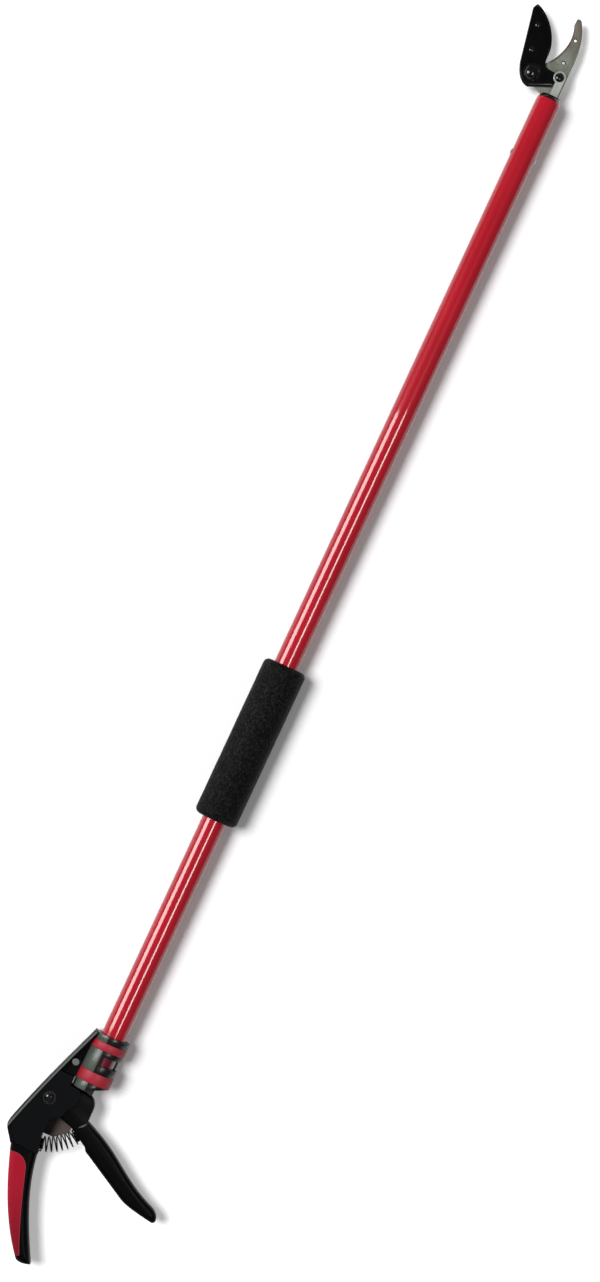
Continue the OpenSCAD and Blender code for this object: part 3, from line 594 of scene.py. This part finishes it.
PAINT = {
    "pole_tube": RED, "foam_grip": FOAM, "rod_guides": GUIDE, "head_plug": PLUG, "head_rivets": ZINC,
    "head_screws": ZINC, "hook_plate": HOOK, "blade_pivot_bolt": BOLT, "blade_pivot_washer": BOLT,
    "blade_pivot_nut": ZINC, "handle_frame": HOUSING, "side_cover": COVER, "cover_screws": ZINC,
    "grip_core": GRIP, "grip_inlay": INLAY, "clamp_collar": COLLAR, "collar_bands": BAND,
    "tube_screws": ZINC, "trigger_pivot_bolt": BOLT, "trigger_pivot_washer": DARK,
    "trigger_pivot_nut": ZINC, "trigger_bush": BRASS, "trigger_spring": WIRE, "trigger_lever": GRIP,
    "pull_rod": DARK, "rod_eye": DARK, "rod_pin": DARK, "rod_coupler": DARK, "pull_link": LINK,
    "link_screws": ZINC, "link_bolt": BOLT, "cutting_blade": BLADE, "hold_plate": HOOK, "hold_rivets": BOLT,
}


def paint(obj, material):
    obj.data.materials.clear()
    obj.data.materials.append(material)


for name, obj in NODES.items():
    paint(obj, PAINT[name])


def stand_for(obj, body, material, slot, *nodes):
    """Gives a finer mesh its paint and body, in place of the CAD nodes."""
    paint(obj, material)
    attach(obj, body)
    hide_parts(*nodes)


# Foam sleeve, a ring about the tube with an uneven skin
def foam_sleeve():
    half, r, round_r, bore, lip = 73.0, 19.5, 5.0, TUBE_R + 0.05, 1.5
    lengths, around = 60, 120
    end = [(-half, bore), (-half, bore + lip)]
    for degrees in range(0, 91, 9):
        a = math.radians(degrees)
        end.append((-half + round_r - round_r * math.cos(a), r - round_r + round_r * math.sin(a)))
    straight = 2 * (half - round_r)
    profile = end + [(-half + round_r + straight * i / lengths, r) for i in range(1, lengths)]
    profile += [(-x, radius) for x, radius in reversed(end)]
    rings = [[(x, radius * q.x, radius * q.y) for x, radius in profile] for q in circle(pt(0, 0), 1, around)]
    obj = skinned("foam_sleeve", rings, closed=True)
    wave_mm, wave_scale, grain_mm, grain_scale = 0.22, 90.0, 0.12, 520.0
    for v in obj.data.vertices:
        radius = math.hypot(v.co.y, v.co.z) / MM
        if radius > bore + 1:
            wave = 0.5 + 0.5 * noise.noise(v.co * wave_scale)
            grain = 0.5 + 0.5 * noise.noise(v.co * grain_scale)
            pull = (wave_mm * wave + grain_mm * grain) / radius
            v.co.y *= 1 - pull
            v.co.z *= 1 - pull
    stand_for(obj, "pole", FOAM, "foam", "foam_grip")


# Trigger spring, wound round its bent axis.
# Points past both ends of its axis are worked out at the end, but nothing uses them
def spring_wire():
    wire, coil_r, turns, per_turn, sides = 1.25, 6.325, 7.5, 40, 12
    seat_gap, end_gap, past_ends = 0.1, 0.12, 0.34
    step = math.degrees((wire + seat_gap) / (SPRING_AXIS_R + coil_r))
    a0, a1 = FIXED_SEAT + step, MOVING_SEAT - step
    count = int(turns * per_turn)
    path = []
    for i in range(count + 1):
        u = i / count
        a, w = math.radians(a0 + (a1 - a0) * u), 2 * math.pi * turns * u
        r = SPRING_AXIS_R + coil_r * math.cos(w)
        path.append(Vector((LEVER.x + r * math.cos(a), LEVER.y + r * math.sin(a), coil_r * math.sin(w))))

    def tail(seat, u):
        """From an end of the coil straight to just short of its seat."""
        ahead = polar(seat + 90)
        r = SPRING_AXIS_R + coil_r * math.cos(2 * math.pi * turns * u)
        return Vector((ahead.x, ahead.y, 0)) * (r * math.radians(step) - end_gap)

    path = [path[0] - tail(FIXED_SEAT, 0)] + path + [path[-1] + tail(MOVING_SEAT, 1)]
    last = len(path) - 1
    section = circle(pt(0, 0), wire / 2, sides)
    rings = []
    for i, p in enumerate(path):
        t = (path[min(i + 1, last)] - path[max(i - 1, 0)]).normalized()
        n = t.cross(Vector((0, 0, 1)))
        n = n.normalized() if n.length > 1e-3 else Vector((1, 0, 0))
        b = t.cross(n)
        rings.append([p + q.x * n + q.y * b for q in section])
    obj = skinned("spring_coil", rings)
    paint(obj, WIRE)
    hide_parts("trigger_spring")
    start = LEVER + SPRING_AXIS_R * polar(a0)
    end = LEVER + SPRING_AXIS_R * polar(a1)
    start, end = start + past_ends * (start - end), end + past_ends * (end - start)
    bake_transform(obj)


# Trigger with its broad rounded arm, the fork for the rod's eye and the peg that holds the spring
def trigger():
    half, round_r, boss_share, low = 8, 4.6, 0.45, -11.0
    bush_r, fork_half, peg_r, past = 6.13, 3.9, 4.75, 16
    slot_near, slot_far, slot_r, slot_top = 27.5, 29.39, 2.9, 6.4
    out = polar(MOVING_SEAT)
    seat = LEVER + SPRING_AXIS_R * out
    seat_in, seat_out = seat - 8.5 * out, seat + 11.0 * out
    root = pt(ROD_PIN.x - 13.5, low)

    def arm(x, y):
        return root + pt(x, y)

    def eye(x, y):
        return ROD_PIN + pt(x, y)

    outline = arc(LEVER, 9.4, -20, 190, 24)
    outline += line(LEVER + pt(-12, -12), seat_in, 4)
    outline += line(seat_in, seat_out, 8)
    outline += line(seat_out, arm(-24.2, -8.5), 3)
    outline += line(arm(-24.2, -8.5), arm(-48.5, -53), 16)
    outline += bez(arm(-48.5, -53), arm(-51.5, -58.5), arm(-53.5, -69), arm(-55.5, -83), 14)
    outline += bez(arm(-55.5, -83), arm(-57.5, -91), arm(-48, -89.5), arm(-44, -81), 12)
    outline += bez(arm(-44, -81), arm(-31.1, -46), arm(-15.3, -39.7), root, 26)
    outline += line(root, eye(-3.5, low + 0.2), 4)
    outline += bez(eye(-3, low + 0.2), eye(4.5, low + 0.2), eye(9, -6), eye(9, 4), 14)
    outline += [eye(9, 4), eye(8.5, 9)]
    weights = []
    for p in outline:
        along_arm = min(1.0, max(0.0, (low + 1 - p.y) / 10))
        weights.append(boss_share + (1 - boss_share) * along_arm)
    obj = lofted("trigger_body", outline, rounded(half, round_r, 8), fitted(outline, weights, round_r))
    fork = [eye(-8.5, low + 3), eye(21.5, low + 3), eye(21.5, 14), eye(-8.5, 14)]
    cut(obj, cylinder_z("bush_cut", LEVER, bush_r, -past, past),
        prism("fork_cut", fork, -fork_half, fork_half),
        prism("slot_cut", slot_round(LEVER, ROD_PIN, slot_near, slot_far, slot_r), -past, slot_top))
    peg = lofted("spring_peg", circle(pt(0, 0), peg_r, 32), [(-3.0, 0.5), (-2.5, 0), (1.0, 0)])
    turn = Matrix(((out.x, out.y, 0), (0, 0, -1), (-out.y, out.x, 0))).transposed().to_4x4()
    turn.translation = Vector((seat.x, seat.y, 0)) * MM
    peg.data.transform(turn)
    combined(obj, "UNION", peg)
    stand_for(obj, "trigger", GRIP, "grip_black", "trigger_lever")


# Grip: one rounded form, parted into the black core and the red inlay, with a groove along the seam.
# Its stub runs on into the housing and is cut off at the root, so that the rounding goes all the way
def grip():
    half, round_r, past_face, groove_depth, groove_wide = 10, 6.0, 1.0, 1.4, 0.7
    back = [grip_at(6.4, 16.4), grip_at(-27.9, 5.3), grip_at(-62.1, -8.1), grip_at(-89.7, -31.9)]
    inner = [grip_at(-88.5, -45.2), grip_at(-60, -29.8), grip_at(-32, -14.3), grip_at(5, -10)]
    stub = [inner[3], inner[3] + pt(12, 1.4), back[0] + pt(11.4, 3.7)]
    end_cap = bez(back[3], grip_at(-91.5, -35), grip_at(-91.5, -40), inner[0], 10)
    outline = bez(*inner, 40) + stub + bez(*back, 56) + end_cap
    weights = fitted(outline, [1.0] * len(outline), round_r)

    def whole(name):
        return lofted(name, outline, rounded(half, round_r, 9), weights)

    first, last = 0.13, 0.93
    inlay_back = bez(*back, 40, first, last) + bez(*back, 1, last, 1)
    low, front = grip_at(-82.5, -32.4), grip_at(-15, -7.2)
    seam = bez(low, grip_at(-60, -22), grip_at(-36, -14), front, 40)
    seam += bez(front, grip_at(-6, -3.5), grip_at(-4, 4), inlay_back[0], 18)
    tip = inlay_back[-1]
    seam_end = bez(tip, tip + pt(-3.0, -3.2), low + pt(-4.5, -2.6), low, 8)
    outside = pt(-2, 3.5)
    pocket = seam + [inlay_back[0]] + [q + outside for q in inlay_back] + seam_end
    top, floor_z = half + past_face, half - groove_depth
    inlay = combined(whole("grip_pad"), "INTERSECT", prism("pad_cut", pocket, -top, top))
    stand_for(inlay, "pole", INLAY, "grip_red", "grip_inlay")
    root = ROOT_X - 0.03
    beyond = [pt(root, -60), pt(root + 60, -60), pt(root + 60, 90), pt(root, 90)]
    groove = [(-top, -groove_wide), (-floor_z, 0), (floor_z, 0), (top, -groove_wide)]
    core = cut(whole("grip_body"), prism("root_cut", beyond, -15, 15), lofted("groove_cut", pocket, groove))
    stand_for(core, "pole", GRIP, "grip_black", "grip_core")


# Cutting blade with its ground edge and the ledge along its butt
def blade():
    low, top, below, above = -3.4, -0.4, -6, 2
    pivot_r, rivet_r, slot_r, slot_gap, most_swing = 4.08, 1.55, 2.4, 0.4, 22.648
    slot_dir = (LINK_PIN - PIVOT).normalized()
    slot_angle = math.degrees(math.atan2(slot_dir.y, slot_dir.x))
    slot_near, slot_far = 23.0, PIVOT.y / math.cos(math.radians(most_swing)) + slot_gap
    arm_end = PIVOT + (slot_far - 1.2) * slot_dir
    throat = LINK_PIN + pt(3, 10)
    start, end = jaw(0.315, 16.8), jaw(0.984, 40.7)
    back_end, back_start = jaw(0.915, 46.2), jaw(0.081, 37)
    butt = PIVOT + pt(-13, -1.5)
    foot = LINK_PIN + pt(-9.8, 2.6)
    arm = [foot, LINK_PIN + pt(-6.5, 1.6)]
    arm += arc(arm_end, 4.8, slot_angle - 75, slot_angle + 95, 20) + [throat + pt(-0.3, -4)]
    hollow = bez(throat, throat + pt(0.4, 5.5), start - pt(7, 0), start, 16)
    edge = bez(start, jaw(0.556, 16), jaw(0.859, 26), end, 48)
    tip = bez(end, jaw(0.99, 41.6), jaw(0.998, 42.6), jaw(1.002, 43.5), 6)
    tip += bez(jaw(1.002, 43.5), jaw(0.998, 44.2), jaw(0.97, 45.0), back_end, 8)
    back = line(back_end, back_start, 20)
    round_butt = bez(back_start, PIVOT + pt(-5, 11), PIVOT + pt(-12.5, 6), butt, 20)
    side = line(butt, foot, 16)
    plain = arm + hollow + edge + tip + back
    outline = plain + round_butt + side

    arm_share, back_share, rise, fall = 0.08, 0.12, 1 / 12, 1.4
    ground = [arm_share] * (len(arm) + len(hollow))
    ground += [min(1.0, arm_share + rise * i) for i in range(len(edge))]
    ground += [max(back_share, 1.0 - fall * i / len(tip)) for i in range(len(tip))]
    ground += [back_share] * (len(back) + len(round_butt)) + [0.0] * len(side)
    ledge = [0.0] * len(plain) + [i / len(round_butt) for i in range(len(round_butt))] + [1.0] * len(side)
    ledge[0] = 1.0
    ground, ledge = eased(ground, 2), eased(ledge, 1)
    layers = []
    for z, bare, slope, step in (
            (low, 0.15, 0, 0),
            (low + 0.15, 0, 0, 0),
            (low + 0.6, 0, 0, 0),
            (low + 1.5, 0, 1.0, 0.1),
            (low + 1.65, 0.02, 1.2, 1.7),
            (top - 0.15, 0.04, 2.8, 1.85),
            (top, 0.1, 3.0, 2.0)):
        layers.append((z, [bare + slope * g + step * e for g, e in zip(ground, ledge)]))
    obj = stacked("blade_body", outline, layers)
    cut(obj, cylinder_z("pivot_cut", PIVOT, pivot_r, below, above),
        prism("slot_cut", slot_round(PIVOT, LINK_PIN, slot_near, slot_far, slot_r), below, above),
        cylinder_z("rivet_cut_a", jaw(0.315, PIVOT.y + 8.5), rivet_r, below, above, 24),
        cylinder_z("rivet_cut_b", jaw(0.703, PIVOT.y + 12.5), rivet_r, below, above, 24))
    stand_for(obj, "blade", BLADE, "blade_black", "cutting_blade")


# Hook plate with the ground edge that the blade passes, and two countersunk holes with painted shade on
# their walls
def hook():
    shank, shank_end, neck, low, top = 562.0, 600.0, 606.1, -6.6, -3.6
    cad = NODES["hook_plate"].data
    half = max(abs(v.co.y) for v in cad.vertices if v.co.x < shank_end * MM) / MM
    belly = [pt(shank, -half), pt(neck, -half), pt(neck + 1, -6.2)]
    belly += bez(jaw(0.405, -6.2), jaw(0.658, -6), jaw(0.874, -3), jaw(1.036, 3), 30)
    tip = bez(jaw(1.036, 3), jaw(1.062, 3.9), jaw(1.062, 6.4), jaw(1.042, 7.3), 12)
    tip += line(jaw(1.042, 7.3), jaw(0.946, 7.6), 3)
    edge = bez(jaw(0.946, 7.6), jaw(0.645, 0.2), jaw(0.299, 10.5), jaw(0.207, 17.5), 48)
    lobe = [jaw(0.207, 17.5)] + arc(PIVOT, 9.0, -20, 200, 40)
    foot = [pt(neck + 6, 10), pt(neck + 1, half + 1.5), pt(neck, half), pt(shank, half)]
    outline = belly + tip + edge + lobe + foot
    tip_share, ramp = 0.25, 8
    ground = [0.0] * (len(belly) + len(tip))
    ground += [min(1.0, tip_share + i / ramp, (len(edge) - i) / ramp) for i in range(len(edge))]
    ground = eased(ground + [0.0] * (len(lobe) + len(foot)), 3)
    layers = []
    for z, bare, slope in (
            (low, 0.15, 0.0),
            (low + 0.15, 0.0, 0.0),
            (top - 1.35, 0.0, 0.0),
            (top - 0.1, 0.0, 1.5),
            (top, 0.12, 1.62)):
        layers.append((z, [bare + slope * g for g in ground]))
    obj = stacked("hook_body", outline, layers)
    obj.data.materials.append(HOOK)
    obj.data.materials.append(HOOK_EDGE)
    for face in obj.data.polygons:
        c = face.center / MM
        in_jaw = 640 < c.x < 682 and c.y > 3
        if in_jaw and top - 1.4 < c.z < top - 0.05 and 0.2 < face.normal.z < 0.98:
            face.material_index = 1

    below, above, pivot_r, hole_r, sunk_r, screw_r = -9, -1, 4.05, 1.3, 2.0, 1.55
    holes, screws = (jaw(0.337, 2.2), jaw(0.73, 1)), (pt(575, 0), pt(592, 0))
    sunk = [(below, 0.0), (top - 0.55, 0.0), (top + 0.05, -0.6)]
    cutters = [cylinder_z("pivot_cut", PIVOT, pivot_r, below, above)]
    for i, q in enumerate(holes):
        cutters.append(lofted("hole_cut_%d" % i, circle(q, hole_r, 40), sunk))
    for i, q in enumerate(screws):
        cutters.append(cylinder_z("screw_cut_%d" % i, q, screw_r, below, above, 24))
    cut(obj, *cutters)
    # painted shade: the countersinks' walls take dark steel, for the shade inside the holes
    obj.data.materials.append(HOOK_HOLE_SHADE)
    for face in obj.data.polygons:
        c = face.center / MM
        near = min((pt(c.x, c.y) - q).length for q in holes)
        if near < sunk_r and abs(face.normal.z) < 0.95:
            face.material_index = len(obj.data.materials) - 1
    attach(obj, "pole")
    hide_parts("hook_plate")


# Raised lip where the trigger's arm leaves its boss; its pale grey is a painted highlight on the trigger's
# shoulder
def trigger_lip():
    end_wide, wider, base, height, foot, steps = 0.15, 0.62, 7.7, 0.75, 4.5, 8
    mid = bez(pt(-361.2, -5.6), pt(-359.6, -7.8), pt(-357.6, -9.8), pt(-354.9, -11.0), 20)
    n = len(mid)
    rings = []
    for i, q in enumerate(mid):
        t = (mid[min(i + 1, n - 1)] - mid[max(i - 1, 0)]).normalized()
        side = Vector((-t.y, t.x)) * (end_wide + wider * math.sin(math.pi * (i + 0.5) / n))
        ring = []
        for k in range(steps + 1):
            a = math.pi * k / steps
            o = q + side * math.cos(a)
            ring.append((o.x, o.y, base + height * math.sin(a)))
        ring += [(o.x, o.y, foot) for o in (q - side, q + side)]
        rings.append(ring)
    obj = skinned("trigger_lip", rings)
    # painted highlight: the lip's pale grey stands for the bright crescent of light on the trigger's
    # shoulder
    paint(obj, LIP_HIGHLIGHT)
    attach(obj, "trigger")


foam_sleeve()
spring_wire()
trigger()
trigger_lip()
grip()
blade()
hook()

# Widths of the rounded edges on CAD nodes
EDGES = {
    "handle_frame": 0.5, "side_cover": 0.4, "clamp_collar": 0.3, "collar_bands": 0.25, "pull_link": 0.3,
    "head_plug": 0.15, "blade_pivot_washer": 0.15, "trigger_pivot_washer": 0.15, "blade_pivot_nut": 0.3,
    "trigger_pivot_nut": 0.3,
}
for name, width in EDGES.items():
    softened(NODES[name], width, merged=name == "side_cover")


# Stage, in metres: white floor, soft light, and a camera straight above
def floor():
    """Keeps the shadow, and glows to the camera and in reflections to look white.
    The glow is higher past both ends of the tube, where the photograph's shadows are lighter."""
    size, height, tube_middle = 200.0, -0.0195, 0.145
    fade_from, fade_to, glow_along, glow_past = 0.46, 0.50, 0.13, 0.35
    corners = ((-size, -size), (size, -size), (size, size), (-size, size))
    mesh = bpy.data.meshes.new("floor")
    mesh.from_pydata([(x, y, height) for x, y in corners], [], [(0, 1, 2, 3)])
    obj = placed("floor", mesh)
    mat = bpy.data.materials.new("floor_white")
    mat.use_nodes = True
    tree = mat.node_tree
    tree.nodes.clear()
    new, link = tree.nodes.new, tree.links.new
    rays = new("ShaderNodeLightPath").outputs
    seen = math_node(tree, "MAXIMUM", rays["Is Camera Ray"], rays["Is Glossy Ray"])
    seen = math_node(tree, "MAXIMUM", seen, rays["Is Transmission Ray"])
    place = new("ShaderNodeSeparateXYZ")
    link(new("ShaderNodeNewGeometry").outputs["Position"], place.inputs[0])
    away = math_node(tree, "ABSOLUTE", math_node(tree, "SUBTRACT", place.outputs["X"], tube_middle))
    level = range_node(tree, away, fade_from, fade_to, glow_along, glow_past)
    glow = new("ShaderNodeEmission")
    link(math_node(tree, "MULTIPLY", seen, level), glow.inputs["Strength"])
    diffuse = new("ShaderNodeBsdfDiffuse")
    diffuse.inputs["Color"].default_value = (0.86, 0.86, 0.87, 1)
    both = new("ShaderNodeAddShader")
    link(diffuse.outputs[0], both.inputs[0])
    link(glow.outputs[0], both.inputs[1])
    link(both.outputs[0], new("ShaderNodeOutputMaterial").inputs["Surface"])
    mesh.materials.append(mat)


def sky(strength):
    world = bpy.data.worlds.new("studio")
    bpy.context.scene.world = world
    world.use_nodes = True
    back = world.node_tree.nodes["Background"]
    back.inputs["Color"].default_value = (1, 1, 1, 1)
    back.inputs["Strength"].default_value = strength


def leaning(toward_y):
    """A light's turn, toward_y degrees from straight up towards +Y."""
    return Matrix.Rotation(math.radians(-toward_y), 4, "X")


def key(toward_y, strength, spread):
    """The light that casts the soft shadow; it makes no gloss."""
    data = bpy.data.lights.new("key", "SUN")
    data.energy = strength
    data.angle = math.radians(spread)
    obj = placed("key", data)
    obj.matrix_world = leaning(toward_y)
    obj.visible_glossy = False


def strip(name, toward_y, distance, width, length, power):
    """A soft light along the lower tube that makes only gloss."""
    middle_x = -0.015
    data = bpy.data.lights.new(name, "AREA")
    data.shape = "RECTANGLE"
    data.size = length
    data.size_y = width
    data.energy = power
    obj = placed(name, data)
    along, up = Matrix.Translation((middle_x, 0, 0)), Matrix.Translation((0, 0, distance))
    obj.matrix_world = along @ leaning(toward_y) @ up
    obj.visible_camera = False
    obj.visible_diffuse = False


def camera():
    """Straight down on the object, with the photograph's scale at the tube's axis."""
    height, sensor, pixel, photo_rows = 3.6, 36.0, 0.86 * MM, 1282
    data = bpy.data.cameras.new("camera")
    data.sensor_fit = "VERTICAL"
    data.sensor_height = sensor
    data.lens = sensor * height / (photo_rows * pixel)
    data.clip_end = 100.0
    obj = placed("camera", data)
    right, up, back = Vector((0.42158, -0.90679, 0)), Vector((0.90679, 0.42158, 0)), Vector((0, 0, 1))
    m = Matrix((right, up, back)).transposed().to_4x4()
    m.translation = (0.09744, -0.00173, height)
    obj.matrix_world = m
    bpy.context.scene.camera = obj


floor()
sky(strength=0.13)
key(toward_y=26, strength=3.2, spread=23)
strip("strip_left", toward_y=54, distance=1.5, width=0.8, length=0.83, power=24)
strip("strip_top", toward_y=-16, distance=1.6, width=0.3, length=0.85, power=12)
camera()
bpy.context.scene.view_settings.view_transform = "Standard"
